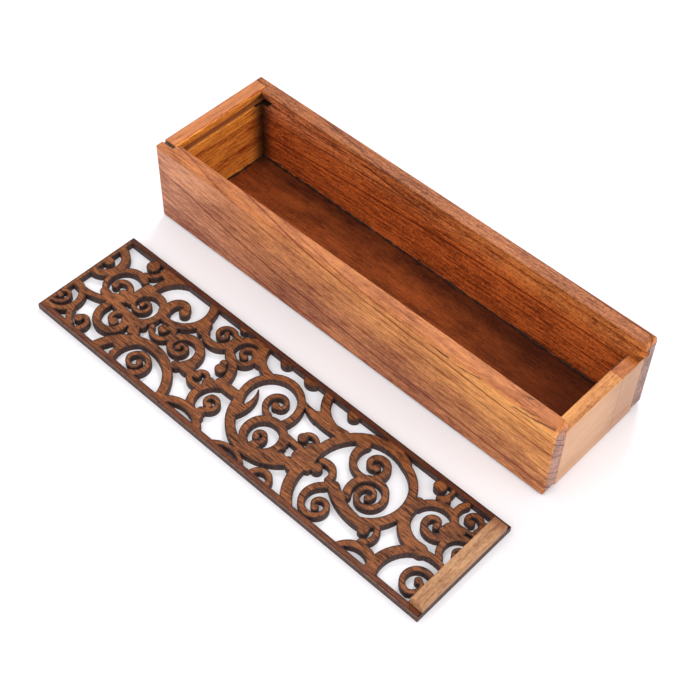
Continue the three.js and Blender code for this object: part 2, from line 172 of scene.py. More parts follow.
# %% One way to add a node
class Nodes:
    """A node tree and the one method that adds nodes to it."""

    def __init__(self, tree):
        self.tree = tree

    def _socket(self, sockets, key):
        """A socket by number, identifier or name, passing over those that the settings switched off."""
        if isinstance(key, int):
            return sockets[key]
        return next(s for s in sockets if s.enabled and key in (s.identifier, s.name))

    def feed(self, socket, value):
        """Links a Wire to a socket, or sets the socket's own value."""
        if isinstance(value, Wire):
            self.tree.links.new(value.socket, socket)
        else:
            socket.default_value = value

    def node(self, kind, settings=None, sockets=None, out=None):
        """Adds a node and returns one of its outputs, the first that is on unless another is named."""
        node = self.tree.nodes.new(kind)
        for name, value in (settings or {}).items():
            setattr(node, name, value)
        for key, value in (sockets or {}).items():
            self.feed(self._socket(node.inputs, key), value)
        if not node.outputs:
            return node
        found = self._socket(node.outputs, out) if out else next(s for s in node.outputs if s.enabled)
        return Wire(self, found)

    def point(self, x, y, z):
        return self.node("ShaderNodeCombineXYZ", {}, {"X": x, "Y": y, "Z": z})

    def noise(self, place, size, detail=2.0, rough=0.5):
        """Soft noise around 0.5, with lumps of about the given size."""
        sockets = {"Vector": place, "Scale": 1.0 / size, "Detail": detail, "Roughness": rough}
        return self.node("ShaderNodeTexNoise", {"noise_dimensions": "3D"}, sockets)


# %% [markdown]
# A finish is one material on the standard Principled shader. It works in millimetres on Object
# coordinates, which stay with a piece when it slides, so the grain runs through a board as it does in a
# real one: a face, the rim above it and the end grain beside it all cut the same growth rings.

# %% A finish
def shade(red, green, blue):
    """A colour as it looks on a screen, 0 to 255, turned into the linear light that shaders mix."""
    def linear(level):
        level = level / 255.0
        return level / 12.92 if level <= 0.04045 else ((level + 0.055) / 1.055) ** 2.4
    return (linear(red), linear(green), linear(blue), 1.0)


class Finish(Nodes):
    """A material with a Principled surface, drawn in millimetres."""

    def __init__(self, name):
        self.material = bpy.data.materials.new(name)
        self.material.use_nodes = True
        super().__init__(self.material.node_tree)
        self.tree.nodes.clear()
        self.surface = self.tree.nodes.new("ShaderNodeBsdfPrincipled")
        output = self.tree.nodes.new("ShaderNodeOutputMaterial")
        self.tree.links.new(self.surface.outputs["BSDF"], output.inputs["Surface"])
        place = self.node("ShaderNodeTexCoord", out="Object")
        sockets = {"Vector": place, "Scale": 1.0 / MM}
        self.place = self.node("ShaderNodeVectorMath", {"operation": "SCALE"}, sockets)
        sockets = {"Vector": self.place}
        self.x, self.y, self.z = (self.node("ShaderNodeSeparateXYZ", {}, sockets, axis) for axis in "XYZ")

    def mix(self, factor, one, other):
        """Mixes two colours: factor 0 gives the one and factor 1 the other."""
        sockets = {"Factor_Float": factor, "A_Color": one, "B_Color": other}
        return self.node("ShaderNodeMix", {"data_type": "RGBA"}, sockets)

    def number(self, whole):
        """A random value from 0 to 1 for each whole number."""
        return self.node("ShaderNodeTexWhiteNoise", {"noise_dimensions": "1D"}, {"W": whole})

    def paint(self, colour, relief, rough, depth, gloss):
        """Feeds the surface. Relief runs from 0 to 1 and depth is its real height in millimetres."""
        bump = self.node("ShaderNodeBump", {}, {"Height": relief, "Distance": depth * MM})
        self.feed(self.surface.inputs["Base Color"], colour)
        self.feed(self.surface.inputs["Roughness"], rough)
        self.feed(self.surface.inputs["Normal"], bump)
        self.surface.inputs["Specular IOR Level"].default_value = gloss
        return self.material


print("finishes draw in millimetres: one metre is", round(1.0 / MM))

# %% [markdown]
# ## Wood, from the heart outwards
#
# A tree grows in rings around its heart, and a board is a straight cut out of those rings. So a board's
# grain isn't painted on its faces: each point of the board asks how far it lies from the heart of its
# tree. Equal distances make the pale spring wood and the thin dark line that closes each year. A heart
# far above a board gives nearly straight lines on its face, and one that bends away makes them run down
# the board.
#
# On top of the rings lie the fibres: long fine streaks, short dark pores, and soft blotches where the
# stain soaked in unevenly. Each of these is one noise, drawn out along the grain.

# %% Grain
# The features of the grain: how far each is drawn out along the grain, and its width in millimetres
DRIFT = (7.0, 16.0)
STREAK = (34.0, 1.1)
FINE = (16.0, 0.34)
PORE = (11.0, 0.3)
BLOTCH = (2.4, 9.0)
SPECK = (1.7, 0.8)

# A year runs from 0 to 1. Its line is darkest just before the end, and some years leave hardly a line.
DARKEST = 0.93
FAINTEST_LINE = 0.15
LINE_RANGE = 1.1

# How much the widths of the years vary, and over how many years
UNEVEN_YEARS = 2.1
YEARS_ALIKE = 3.1


def grained(finish, grain, heart, ring, bow=0.0, bow_at=0.0, wander=1.4, early=0.5, lines=0.3,
            streaks=0.8, fines=0.9, pores=0.18, blotches=1.0, specks=0.7):
    """The tone of a board from 0, dark, to 1, pale, and its relief.

    The heart is where the middle of the tree lies across the board, the ring is the width of a year, and the
    bow bends the heart away from bow_at, all in millimetres. The plurals say how strong each feature is.
    """
    along, side, up = (finish.x, finish.y, finish.z) if grain == "x" else (finish.y, finish.x, finish.z)

    def drawn_out(feature, detail=2.0, rough=0.5):
        stretch, width = feature
        return finish.noise(finish.point(along / stretch, side, up), width, detail, rough)

    off_side = side - heart[0]
    off_up = up - heart[1] - (along - bow_at) * (along - bow_at) * bow
    drift = drawn_out(DRIFT) - 0.5
    distance = (off_side * off_side + off_up * off_up).root() + drift * wander * ring
    uneven = finish.noise(finish.point(distance, heart[0], heart[1]), ring * YEARS_ALIKE) - 0.5
    turns = distance / ring + uneven * UNEVEN_YEARS
    phase = turns.fraction()
    strength = finish.number(turns.whole())
    line = phase.ramp(early, DARKEST) * phase.ramp(1.0, DARKEST)
    late = line * (strength * strength * LINE_RANGE + FAINTEST_LINE)
    streak = drawn_out(STREAK, 4.0, 0.62) - 0.5
    fine = drawn_out(FINE) - 0.5
    pore = drawn_out(PORE, 1.0).ramp(0.6, 0.72)
    blotch = drawn_out(BLOTCH, 4.0, 0.6) - 0.5
    speck = drawn_out(SPECK) - 0.5
    tone = 0.5 + streak * streaks + fine * fines + blotch * blotches + speck * specks
    tone = tone - late * lines - pore * pores
    relief = 0.5 + fine * 0.6 + streak * 0.5 - pore * 0.7 - late * 0.3
    return tone, relief


print("ring, streak, fine, pore, blotch and speck make the grain")

# %% [markdown]
# The boards of the box share one stain but not one look. The stain is redder and duller on the outside,
# and warmer on the rims where it wore thin. Inside it is a deep, bright orange: partly the wood, partly
# painted light that bounces between the walls. Each finish below mixes its colours by place: a pair of
# colours, dark and pale, is mixed by the tone, and masks lay one mix over another, painted light and
# shade among them.

# %% The side boards
OUTSIDE = (shade(122, 52, 24), shade(230, 148, 88))
HEAVY_STAIN = (shade(104, 44, 22), shade(196, 112, 68))
ROSE = (shade(138, 70, 44), shade(236, 162, 116))
GOLD = (shade(154, 78, 36), shade(255, 178, 100))
# Inside: partly the wood's deep orange, partly painted light bounced between the walls.
INSIDE = (shade(118, 48, 16), shade(232, 124, 56))
NEAR_RIM = (shade(126, 60, 28), shade(224, 140, 78))
FAR_RIM = (shade(104, 48, 22), shade(196, 116, 60))
END_GRAIN = (shade(116, 74, 62), shade(212, 160, 138))
END_DULL = shade(112, 98, 92)
SPLIT = shade(90, 45, 22)
# The dark of the painted shade: in the corners, at the foot of the boards and in the gaps.
PAINTED_SHADE = shade(34, 18, 12)
WAX_GLOSS = 0.3

# Where things lie, in millimetres. Below the rim, in the groove and where the inside is painted paler
# towards the rim are heights, and the zones of the outside run along the box.
BOARD_HEIGHT = front_high.z / MM
BOARD_END = front_high.x / MM
CORNER_X = end_high.x / MM
CORNER_Y = back_low.y / MM
BELOW_RIM = (BOARD_HEIGHT - 1.0, BOARD_HEIGHT - 2.6)
GROOVE = (32.7, 36.9)
PAINTED_LIGHT_HEIGHTS = (25.0, 34.0)
HEAVY_ZONE = (-72.0, -46.0)
ROSE_ZONE = (-38.0, -92.0)
GOLD_ZONE = (60.0, 190.0)

# Cracks in the near rim and the front below it: first and last x, first and last place round the edge, which
# is above 0 on the rim and below 0 on the front, and half the width in the middle.
CRACKS = (
    (30.0, 33.0, 0.1, 0.2, 0.28),
    (46.5, 54.5, -1.3, -1.4, 0.42),
    (57.0, 70.0, -2.4, 0.0, 0.2),
    (82.0, 92.0, -2.7, -1.5, 0.3),
    (90.0, 103.0, -1.8, 0.8, 0.38),
    (85.0, 93.5, -0.2, 0.7, 0.24),
    (84.0, 89.0, 4.9, 6.0, 0.3),
)


def between(value, low, high, soft=0.2):
    """1 from low to high and 0 outside them, with soft ends."""
    return value.ramp(low - soft, low + soft) * value.ramp(high + soft, high - soft)


def calmed(tone, share):
    """The tone with only a share of its contrast."""
    return 0.5 + (tone - 0.5) * share


def crack(f, x0, x1, round0, round1, half_width):
    """1 inside a wavering crack whose ends taper off, else 0. It stays on the rim and on the front."""
    behind = f.y - front_low.y / MM
    below = BOARD_HEIGHT - f.z
    around = behind - below
    skin = (behind + below - abs(around)).ramp(1.6, 0.6)
    waver = (f.noise(f.point(f.x / 2.0, 0.0, x0), 1.6, 3.0, 0.6) - 0.5) * 1.3
    middle = (f.x - x0) * ((round1 - round0) / (x1 - x0)) + round0
    away = abs(around - middle + waver)
    taper = f.x.ramp(x0 - 0.5, x0 + 2.5) * f.x.ramp(x1 + 0.5, x1 - 2.5)
    return (taper * (half_width + 0.15) - away).ramp(-0.05, 0.18) * skin


def side_board_finish(name, outer_y, rim_colours, cracks=(), **grain):
    """Stained wood: rosy to golden outside, warm on the rim, deep orange inside and grey on the end grain,
    with painted light making it paler towards the top and inside, and painted shade at its foot and in the
    far corner.
    """
    f = Finish(name)
    tone, relief = grained(f, "x", **grain)
    cloud = f.noise(f.point(f.x / 3.0, f.y, f.z), 22.0, 2.0) - 0.5
    # Painted light: the tone is paler towards the top of the board and darker towards its foot.
    tone_painted_lighter_up = tone + (f.z - 0.5 * BOARD_HEIGHT) * (0.5 / BOARD_HEIGHT)
    heavy = between(f.x + cloud * 40.0, *HEAVY_ZONE, 16.0) * 0.3
    rosy = (f.x + cloud * 60.0).ramp(*ROSE_ZONE)
    golden = (f.x + f.z * 3.0 + cloud * 90.0).ramp(*GOLD_ZONE)
    outside = f.mix(tone_painted_lighter_up, *OUTSIDE)
    outside = f.mix(heavy, outside, f.mix(tone, *HEAVY_STAIN))
    outside = f.mix(rosy, outside, f.mix(tone_painted_lighter_up, *ROSE))
    outside = f.mix(golden, outside, f.mix(tone_painted_lighter_up, *GOLD))
    # The inside colour, partly painted bounce light.
    inside = f.mix(tone + f.x.ramp(0.0, 90.0) * 0.12, *INSIDE)
    # Painted light: the inside grows paler towards the rim, where more light comes in.
    inside = f.mix(f.z.ramp(*PAINTED_LIGHT_HEIGHTS) * 0.4, inside, outside)
    inward = abs(f.y - outer_y).ramp(1.0, 2.5)
    colour = f.mix(inward, outside, inside)
    rim = f.mix(calmed(tone, 0.75), *rim_colours)
    colour = f.mix(f.z.ramp(BOARD_HEIGHT - 1.8, BOARD_HEIGHT - 0.1), colour, rim)
    end_grain = f.mix(f.y.ramp(-20.0, 20.0) * 0.45, f.mix(tone, *END_GRAIN), END_DULL)
    colour = f.mix(f.x.ramp(BOARD_END - 0.35, BOARD_END - 0.05), colour, end_grain)
    # Painted shade along the foot of the board, where it stands on the floor.
    colour = f.mix(f.z.ramp(1.3, 0.2), colour, PAINTED_SHADE)
    # Painted shade in the far inner corner at the closed end, darkest in the corner and black where the
    # grooves meet.
    corner = f.x.ramp(CORNER_X + 8.0, CORNER_X - 0.5) * 0.9
    corner = corner.most(f.x.ramp(CORNER_X + 4.2, CORNER_X + 3.4) * between(f.z, *GROOVE))
    colour = f.mix(inward * corner * f.z.ramp(*BELOW_RIM), colour, PAINTED_SHADE)
    for row in cracks:
        gap = crack(f, *row)
        colour = f.mix(gap * 0.85, colour, SPLIT)
        relief = relief - gap * 1.2
    return f.paint(colour, relief, rough=0.5 - (tone - 0.5) * 0.12, depth=0.07, gloss=WAX_GLOSS)


front_finish = side_board_finish(
    "stained_wood_front", front_low.y / MM, NEAR_RIM, CRACKS,
    heart=(60.0, 118.0), ring=2.8, bow=0.0005, bow_at=104.0, wander=1.3, early=0.62, lines=0.85,
    streaks=0.9, fines=1.7, blotches=1.3)
back_finish = side_board_finish(
    "stained_wood_back", back_high.y / MM, FAR_RIM,
    heart=(96.0, -58.0), ring=1.9, bow=-0.0003, bow_at=90.0, wander=0.9, early=0.55, lines=0.95,
    streaks=1.3, fines=2.3, blotches=1.4, specks=1.8)
print("side boards finished:", front_finish.name, "and", back_finish.name)

# %% [markdown]
# The closed end stands across the box, so its grain runs from board to board. Its inside is the most
# vivid orange of the object, with dark streaks: partly the wood and partly painted light. The low end is
# two pieces of different wood, and its outer face is pale: partly paler wood, partly painted light and
# sheen.

# %% The closed end and the low end
END_OUTSIDE = (shade(150, 78, 40), shade(228, 146, 86))
END_INSIDE = (shade(144, 46, 14), shade(255, 162, 64))
GOLDEN_FLAME = (shade(140, 68, 26), shade(236, 164, 88))
ORANGE_BROWN = (shade(112, 46, 18), shade(210, 122, 52))
PALE_LIT_NEAR = (shade(186, 128, 92), shade(240, 196, 156))
PALE_LIT_FAR = (shade(156, 108, 80), shade(216, 170, 134))
OUTER_BAND = shade(160, 100, 70)
BAND_HEIGHTS = (5.6, 8.4)


def closed_end_finish():
    """Wood that is orange inside, partly painted light, browner outside and on the rim, with painted shade
    in the far corner.
    """
    f = Finish("streaked_orange_wood")
    tone, relief = grained(f, "y", heart=(-60.0, 20.0), ring=2.6, wander=1.0, lines=0.45, streaks=1.5,
                           fines=2.0, pores=0.5, blotches=0.6)
    inner = f.x.ramp(CORNER_X - 1.4, CORNER_X - 0.5)
    # Painted light: the inside's tone is lifted, over the wood's own orange.
    colour = f.mix(inner, f.mix(calmed(tone, 0.5), *END_OUTSIDE), f.mix(tone + 0.22, *END_INSIDE))
    # Painted shade in the far corner by the back board, black where the grooves meet.
    corner = f.y.ramp(CORNER_Y - 8.0, CORNER_Y) * 0.92
    corner = corner.most(f.y.ramp(CORNER_Y - 4.4, CORNER_Y - 3.6) * between(f.z, *GROOVE))
    colour = f.mix(corner * inner * f.z.ramp(*BELOW_RIM), colour, PAINTED_SHADE)
    return f.paint(colour, relief, rough=0.46 - (tone - 0.5) * 0.1, depth=0.08, gloss=WAX_GLOSS)


def low_end_finish(name, colours, **grain):
    """Wood for a piece of the low end. Its outer face is pale, partly paler wood and partly painted light
    and sheen, and greyer towards the far side.

    The narrow piece's top is painted with shade along its inner edge and where it meets the back board.
    """
    f = Finish(name)
    tone, relief = grained(f, "y", **grain)
    # The pale outer face: partly the wood, partly painted light and sheen.
    calm = calmed(tone, 0.3)
    pale_and_lit = f.mix(f.y.ramp(-4.0, 16.0), f.mix(calm, *PALE_LIT_NEAR), f.mix(calm, *PALE_LIT_FAR))
    cloud = f.noise(f.point(f.x, f.y / 3.0, f.z), 5.0, 3.0) - 0.5
    pale_and_lit = f.mix(between(f.z + cloud * 3.0, *BAND_HEIGHTS, 1.6) * 0.22, pale_and_lit, OUTER_BAND)
    # Painted shade on the narrow piece's top, in the gap at the back board and along its inner edge.
    far_side = f.y.ramp(CORNER_Y - 1.8, CORNER_Y - 0.3)
    inner_edge = f.x.ramp(low_end_low.x / MM + 0.9, low_end_low.x / MM + 0.4)
    inner_edge = inner_edge * f.y.ramp(low_end_high.y / MM, low_end_high.y / MM + 1.0)
    top = f.z.ramp(low_end_high.z / MM - 2.0, low_end_high.z / MM - 1.0)
    wood = f.mix(far_side.most(inner_edge) * top * 0.8, f.mix(tone, *colours), PAINTED_SHADE)
    colour = f.mix(f.x.ramp(low_end_high.x / MM - 0.6, low_end_high.x / MM - 0.1), wood, pale_and_lit)
    return f.paint(colour, relief, rough=0.48 - (tone - 0.5) * 0.1, depth=0.05, gloss=WAX_GLOSS)


closed_finish = closed_end_finish()
wide_finish = low_end_finish(
    "golden_flame_wood", GOLDEN_FLAME, heart=(90.0, -30.0), ring=2.4, wander=2.6, lines=0.7, blotches=1.5)
narrow_finish = low_end_finish(
    "orange_brown_wood", ORANGE_BROWN, heart=(80.0, 90.0), ring=2.1, wander=1.2, lines=0.4)
print("end boards finished:", closed_finish.name, wide_finish.name, narrow_finish.name)

# %% [markdown]
# The bottom is a thin dark panel, with painted shade along the foot of the far wall. The corner filler is
# a dark putty in the near left corner, where the closed end doesn't reach the full depth of its housing
# in the front board.

# %% The bottom and the corner filler
BOTTOM = (shade(80, 31, 11), shade(178, 90, 40))
BOTTOM_FAR_END = shade(78, 32, 12)
BOTTOM_PAINTED_SHADE = shade(52, 22, 10)
PUTTY = (shade(24, 18, 12), shade(84, 70, 46))


def bottom_finish():
    f = Finish("dark_bottom_wood")
    tone, relief = grained(f, "x", heart=(0.0, -40.0), ring=7.0, wander=1.0, lines=0.2,
                           fines=1.3, pores=0.1, blotches=1.6)
    cloud = f.noise(f.point(f.x / 2.0, f.y, f.z), 26.0) - 0.5
    colour = f.mix((f.x + cloud * 90.0).ramp(-10.0, 90.0) * 0.6, f.mix(tone, *BOTTOM), BOTTOM_FAR_END)
    # Painted shade along the foot of the far wall, deepest in the corner by the closed end.
    foot = (f.y + cloud * 14.0).ramp(6.0, 24.0) * 0.55
    corner = f.x.ramp(CORNER_X + 14.0, CORNER_X + 1.0) * foot * 1.7
    colour = f.mix(foot.most(corner), colour, BOTTOM_PAINTED_SHADE)
    return f.paint(colour, relief, rough=0.6, depth=0.05, gloss=0.15)


def filler_finish():
    f = Finish("dark_corner_putty")
    lumps = f.noise(f.place, 0.9, 4.0, 0.65)
    colour = f.mix(lumps.ramp(0.35, 0.7), *PUTTY)
    return f.paint(colour, lumps, rough=0.7, depth=0.25, gloss=0.3)


bottom_wood = bottom_finish()
putty = filler_finish()
print("bottom and filler finished:", bottom_wood.name, putty.name)

# %% [markdown]
# ## The lid's two surfaces
#
# The lid was cut by burning, which leaves its walls black brown and browns the wood for a hair's breadth
# beside each cut. The walls are a finish of their own. The browning needs to know how far the nearest cut
# is, which no noise can tell, so the mesh will carry it, in millimetres, as an attribute of its points.

# %% The lid and its strip
FROM_CUT = "mm_from_cut"
LID_WOOD = (shade(52, 24, 12), shade(162, 96, 52))
NEAR_RAIL = shade(80, 34, 26)
FAR_RAIL = shade(62, 20, 16)
BROWNING = shade(44, 24, 19)
PAINTED_EDGE_HIGHLIGHT = shade(158, 112, 88)
CHAR = (shade(30, 16, 13), shade(86, 54, 44))
STRIP_WOOD = (shade(126, 76, 46), shade(216, 166, 118))
STRIP_STAIN = shade(116, 58, 38)
RAIL_WIDTH = 2.6


def lid_finish():
    """Brown wood with darker rails, browned beside the cuts, with a painted highlight along the near and the
    left edge.
    """
    f = Finish("brown_fretwork_wood")
    tone, relief = grained(f, "x", heart=(-30.0, -60.0), ring=1.5, wander=0.8, lines=0.25, streaks=1.1,
                           fines=2.4, pores=0.5, blotches=0.9, specks=0.8)
    left, near, far = lid_low.x / MM, lid_low.y / MM, lid_high.y / MM
    near_rail = f.y.ramp(near + RAIL_WIDTH + 0.3, near + RAIL_WIDTH - 0.3)
    far_rail = f.y.ramp(far - RAIL_WIDTH - 0.3, far - RAIL_WIDTH + 0.3)
    colour = f.mix(near_rail * 0.5, f.mix(tone, *LID_WOOD), NEAR_RAIL)
    colour = f.mix(far_rail * 0.7, colour, FAR_RAIL)
    from_cut = f.node("ShaderNodeAttribute", {"attribute_name": FROM_CUT}, {}, "Fac")
    uneven = f.noise(f.place, 1.3, 3.0) - 0.5
    colour = f.mix((from_cut + uneven * 0.5).ramp(0.5, 0.05), colour, BROWNING)
    # A painted highlight along the near and the left edge, where the rounded edge catches the light.
    edge = f.y.ramp(near + 0.5, near + 0.2).most(f.x.ramp(left + 0.5, left + 0.2))
    colour = f.mix(edge * (uneven + 0.5).ramp(0.1, 0.6) * 0.6, colour, PAINTED_EDGE_HIGHLIGHT)
    return f.paint(colour, relief, rough=0.46 - (tone - 0.5) * 0.15, depth=0.09, gloss=0.18)


def charred_finish():
    """The walls of the cuts, with faint streaks from top to bottom."""
    f = Finish("charred_cut")
    streak = f.noise(f.point(f.x, f.y, f.z / 14.0), 0.35, 3.0)
    return f.paint(f.mix(streak.ramp(0.3, 0.75), *CHAR), streak, rough=0.55, depth=0.06, gloss=0.4)


def strip_finish():
    """Pale wood, stained darker at its far end."""
    f = Finish("pale_strip_wood")
    tone, relief = grained(f, "y", heart=(150.0, 60.0), ring=2.4, wander=2.2, lines=0.35, streaks=0.6)
    far = lid_high.y / MM
    colour = f.mix(f.y.ramp(far - 8.0, far - 3.0) * 0.55, f.mix(tone, *STRIP_WOOD), STRIP_STAIN)
    return f.paint(colour, relief, rough=0.46, depth=0.05, gloss=WAX_GLOSS)


fretwork_wood = lid_finish()
charred = charred_finish()
strip_wood = strip_finish()
print("lid finished:", fretwork_wood.name, charred.name, strip_wood.name)

# %% [markdown]
# ## Softening the edges
#
# No real edge is perfectly sharp, and the thin line of light on a worn edge says more about wood than its
# colour does. A copy of each board is made, its doubled corners are merged, and its sharp edges get a
# small round, except where the two pieces of the low end meet. Flat faces keep flat shading, and the
# rounds between them are shaded smooth.

# %% Copy and soften
WELD = 0.002 * MM
FLAT = 0.99999
FLAT_ANGLE = math.radians(0.5)
SHARP_ANGLE = math.radians(50.0)
JOINT_REACH = 0.3 * MM


def copy_of(node, weld=WELD):
    """A mesh of a solid with its doubles merged."""
    mesh = bmesh.new()
    mesh.from_mesh(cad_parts[node].data)
    bmesh.ops.remove_doubles(mesh, verts=mesh.verts, dist=weld)
    return mesh


def join_flats(mesh):
    """Joins the triangles of each flat face."""
    bmesh.ops.dissolve_limit(mesh, angle_limit=FLAT_ANGLE, verts=mesh.verts, edges=mesh.edges)


def soften(mesh, edges, radius):
    """Rounds the given edges in two steps."""
    bmesh.ops.bevel(mesh, geom=edges, offset=radius, offset_type="OFFSET", segments=2, profile=0.5,
                    affect="EDGES", clamp_overlap=True, material=-1)


def sharp_edges(mesh):
    return [e for e in mesh.edges if len(e.link_faces) == 2 and e.calc_face_angle() > SHARP_ANGLE]


def finished(mesh, name, body, node, finishes):
    """Turns a mesh into the piece that stands for a node."""
    mesh.normal_update()
    for face in mesh.faces:
        face.smooth = max(abs(face.normal.x), abs(face.normal.y), abs(face.normal.z)) < FLAT
    for edge in sharp_edges(mesh):
        edge.smooth = False
    data = bpy.data.meshes.new(name)
    mesh.to_mesh(data)
    mesh.free()
    for finish in finishes:
        data.materials.append(finish)
    piece = bpy.data.objects.new(name, data)
    bpy.context.scene.collection.objects.link(piece)
    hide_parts(node)
    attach(piece, body)
    print(name, len(data.polygons), "faces")


def board(node, name, finish, edge, joint_y=None):
    """A softened board. Its edges at a joint are left sharp, so that the joint closes."""
    mesh = copy_of(node)
    join_flats(mesh)
    edges = sharp_edges(mesh)
    if joint_y is not None:
        edges = [e for e in edges if min(abs(vert.co.y - joint_y) for vert in e.verts) > JOINT_REACH]
    soften(mesh, edges, edge * MM)
    finished(mesh, name, BOX_BODY, node, [finish])


# %% The boards of the box
# Node, piece, finish and the radius of the softened edges in millimetres, and for the low end the y of its
# joint
board("front_side_board", "front_board", front_finish, 0.3)
board("back_side_board", "back_board", back_finish, 0.3)
board("closed_end_board", "closed_end", closed_finish, 0.25)
board("low_end_board_wide", "low_end_wide", wide_finish, 0.25, low_end_high.y)
board("low_end_board_narrow", "low_end_narrow", narrow_finish, 0.2, low_end_high.y)
board("bottom_panel", "bottom", bottom_wood, 0.15)
board("corner_filler", "corner_putty", putty, 0.15)

# %% [markdown]
# ## The seam along the foot
#
# Where the bottom is glued in, dark glue was pressed out along the foot of the walls, and it dried as a
# thin wavering bead. A thing that follows a path is grown by Geometry Nodes: a rectangle as long and as
# wide as the foot is cut into short steps, each step is pushed aside by a noise, and a small round is
# swept along it.

# %% Seam
GLUE = (shade(24, 10, 6), shade(58, 26, 14))
SWAY_SIZE = 3.5 * MM
SWELL_SIZE = 2.5 * MM
SWELL = 3.0
BEAD_SIDES = 8


def seam_tree():
    """The tree that grows the bead. Each of its waves has a number of its own, so that no two are alike."""
    tree = bpy.data.node_groups.new("foot_seam", "GeometryNodeTree")
    for name in ("Length", "Width", "Step", "Bead radius", "Waviness", "Seed"):
        tree.interface.new_socket(name, in_out="INPUT", socket_type="NodeSocketFloat")
    tree.interface.new_socket("Centre", in_out="INPUT", socket_type="NodeSocketVector")
    tree.interface.new_socket("Finish", in_out="INPUT", socket_type="NodeSocketMaterial")
    tree.interface.new_socket("Geometry", in_out="OUTPUT", socket_type="NodeSocketGeometry")
    nodes = Nodes(tree)
    entry = tree.nodes.new("NodeGroupInput")
    given = {socket.name: Wire(nodes, socket) for socket in entry.outputs if socket.name}
    place = nodes.node("GeometryNodeInputPosition")

    def wave(number, size):
        sockets = {"Vector": place, "W": given["Seed"] + number, "Scale": 1.0 / size, "Detail": 3.0}
        return nodes.node("ShaderNodeTexNoise", {"noise_dimensions": "4D"}, sockets) - 0.5

    foot = nodes.node("GeometryNodeCurvePrimitiveQuadrilateral", {"mode": "RECTANGLE"},
                      {"Width": given["Length"], "Height": given["Width"]})
    steps = {"Curve": foot, "Length": given["Step"]}
    foot = nodes.node("GeometryNodeResampleCurve", {"mode": "LENGTH"}, steps)
    sway = nodes.point(*(wave(number, SWAY_SIZE) * given["Waviness"] for number in (0.0, 10.0, 20.0)))
    offset = nodes.node("ShaderNodeVectorMath", {"operation": "ADD"}, {0: sway, 1: given["Centre"]})
    foot = nodes.node("GeometryNodeSetPosition", {}, {"Geometry": foot, "Offset": offset})
    bead = nodes.node("GeometryNodeCurvePrimitiveCircle", {"mode": "RADIUS"},
                      {"Resolution": BEAD_SIDES, "Radius": given["Bead radius"]})
    sockets = {"Curve": foot, "Profile Curve": bead, "Scale": wave(30.0, SWELL_SIZE) * SWELL + 1.0}
    grown = nodes.node("GeometryNodeCurveToMesh", {}, sockets)
    grown = nodes.node("GeometryNodeSetShadeSmooth", {}, {"Geometry": grown})
    grown = nodes.node("GeometryNodeRealizeInstances", {}, {"Geometry": grown})
    grown = nodes.node("GeometryNodeSetMaterial", {}, {"Geometry": grown, "Material": given["Finish"]})
    nodes.node("NodeGroupOutput", {}, {"Geometry": grown})
    return tree


def grow(name, tree, values):
    """Runs a geometry tree once with the given values and keeps what it makes as a plain mesh."""
    source = bpy.data.objects.new(name + "_source", bpy.data.meshes.new(name + "_source"))
    bpy.context.scene.collection.objects.link(source)
    modifier = source.modifiers.new("grow", "NODES")
    modifier.node_group = tree
    for item in tree.interface.items_tree:
        if item.item_type == "SOCKET" and item.in_out == "INPUT":
            modifier[item.identifier] = values[item.name]
    evaluated = source.evaluated_get(bpy.context.evaluated_depsgraph_get())
    data = bpy.data.meshes.new_from_object(evaluated)
    bpy.data.objects.remove(source)
    piece = bpy.data.objects.new(name, data)
    bpy.context.scene.collection.objects.link(piece)
    print(name, len(data.polygons), "faces")
    return piece


def glue_finish():
    f = Finish("dried_dark_glue")
    lumps = f.noise(f.place, 0.7, 3.0)
    return f.paint(f.mix(lumps.ramp(0.3, 0.7), *GLUE), lumps, rough=0.55, depth=0.1, gloss=0.3)


seam_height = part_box("bottom_panel")[1].z + 0.1 * MM
seam = grow("foot_seam", seam_tree(), {
    "Length": low_end_low.x - end_high.x,
    "Width": back_low.y - front_high.y,
    "Centre": ((low_end_low.x + end_high.x) / 2, (back_low.y + front_high.y) / 2, seam_height),
    "Step": 0.7 * MM,
    "Bead radius": 0.65 * MM,
    "Waviness": 2.4 * MM,
    "Seed": 4.0,
    "Finish": glue_finish(),
})
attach(seam, BOX_BODY)

# %% [markdown]
# ## The fretwork
#
# The lid's solid has a flat top and bottom, a wall round each opening, and a wall round the outside. The
# wood beside each cut is browned, so the top needs a fine mesh that knows how far the nearest cut is. The
# old top comes off, and its outlines are kept as closed rows of corners. Each row gets a tiny round:
# charred on an opening, and wider and of plain wood on the outside. Then one new sheet is laid over
# everything, with rows of points beside each cut and scattered points further in. Each row has the wood
# on its left, so the triangles left of a row, and all that join them, are wood. The rest are openings.

# %% Rows of corners beside the cuts
LID_WELD = 0.05 * MM
CUT_ROUND = 0.12 * MM
OUTER_ROUND = 0.35 * MM


def cut_rows(mesh):
    """Closed rows of corners where the top meets a wall, each with the wood on its left."""
    ahead_of = {}
    for face in mesh.faces:
        if face.normal.z > FLAT:
            for corner in face.loops:
                if any(other.normal.z < FLAT for other in corner.edge.link_faces):
                    ahead_of[corner.vert] = corner.link_loop_next.vert
    rows = []
    while ahead_of:
        first, here = ahead_of.popitem()
        row = [first]
        while here is not first:
            row.append(here)
            here = ahead_of.pop(here)
        rows.append(row)
    return rows


def inset(row, width):
    """A flat row of points moved into the wood, mitred, but by twice the width at most."""
    moved = []
    for before, here, after in zip(row[-1:] + row[:-1], row, row[1:] + row[:1]):
        arrive = (here - before).normalized()
        leave = (after - here).normalized()
        left = Vector((-arrive.y - leave.y, arrive.x + leave.x))
        moved.append(here + left * (2.0 * width / max(left.length_squared, 1.0)))
    return moved


